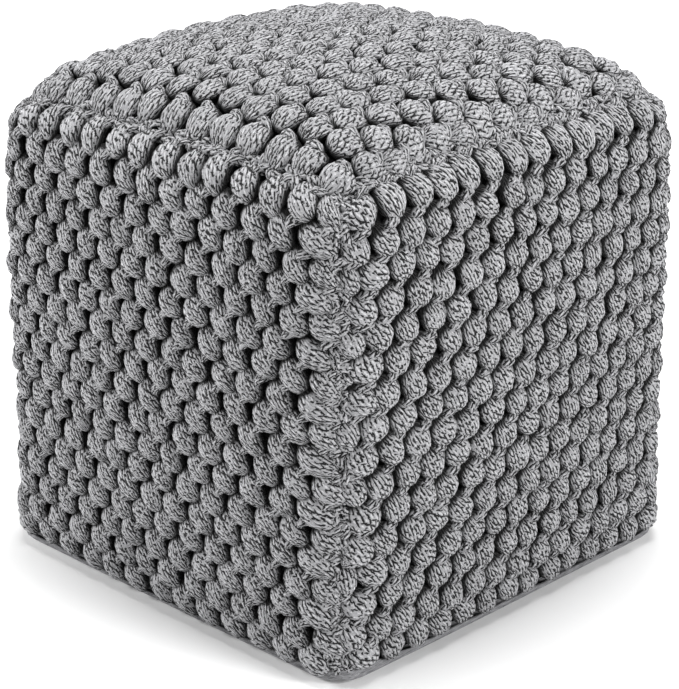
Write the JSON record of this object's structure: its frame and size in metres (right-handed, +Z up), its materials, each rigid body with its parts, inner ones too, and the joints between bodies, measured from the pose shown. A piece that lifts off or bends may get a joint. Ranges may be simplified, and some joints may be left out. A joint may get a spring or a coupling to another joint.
{
  "type": "knitted pouf",
  "caption": "Cube floor pouf of grey cotton yarn: a filled body under knitted panels of raised puffs in staggered rows, with a plain flat base cloth.",
  "frame": {"origin": "middle of the underside, on the surface the pouf stands on", "axes": "+Z up, +Y towards the back, +X towards the right"},
  "size_m": [0.4212, 0.4211, 0.434],
  "materials": {
    "bud_knit": "plied grey cotton yarn, knitted in raised puffs, matt",
    "ground_knit": "small tight knit of the same yarn, in the shade between the puffs, matt",
    "base_cloth": "plain heavy grey cotton cloth, matt"
  },
  "bodies": {
    "root": {"filled_body": "ground_knit", "top_panel": "bud_knit", "front_panel": "bud_knit", "right_panel": "bud_knit", "back_panel": "bud_knit", "left_panel": "bud_knit", "base_panel": "base_cloth"}
  },
  "joints": []
}
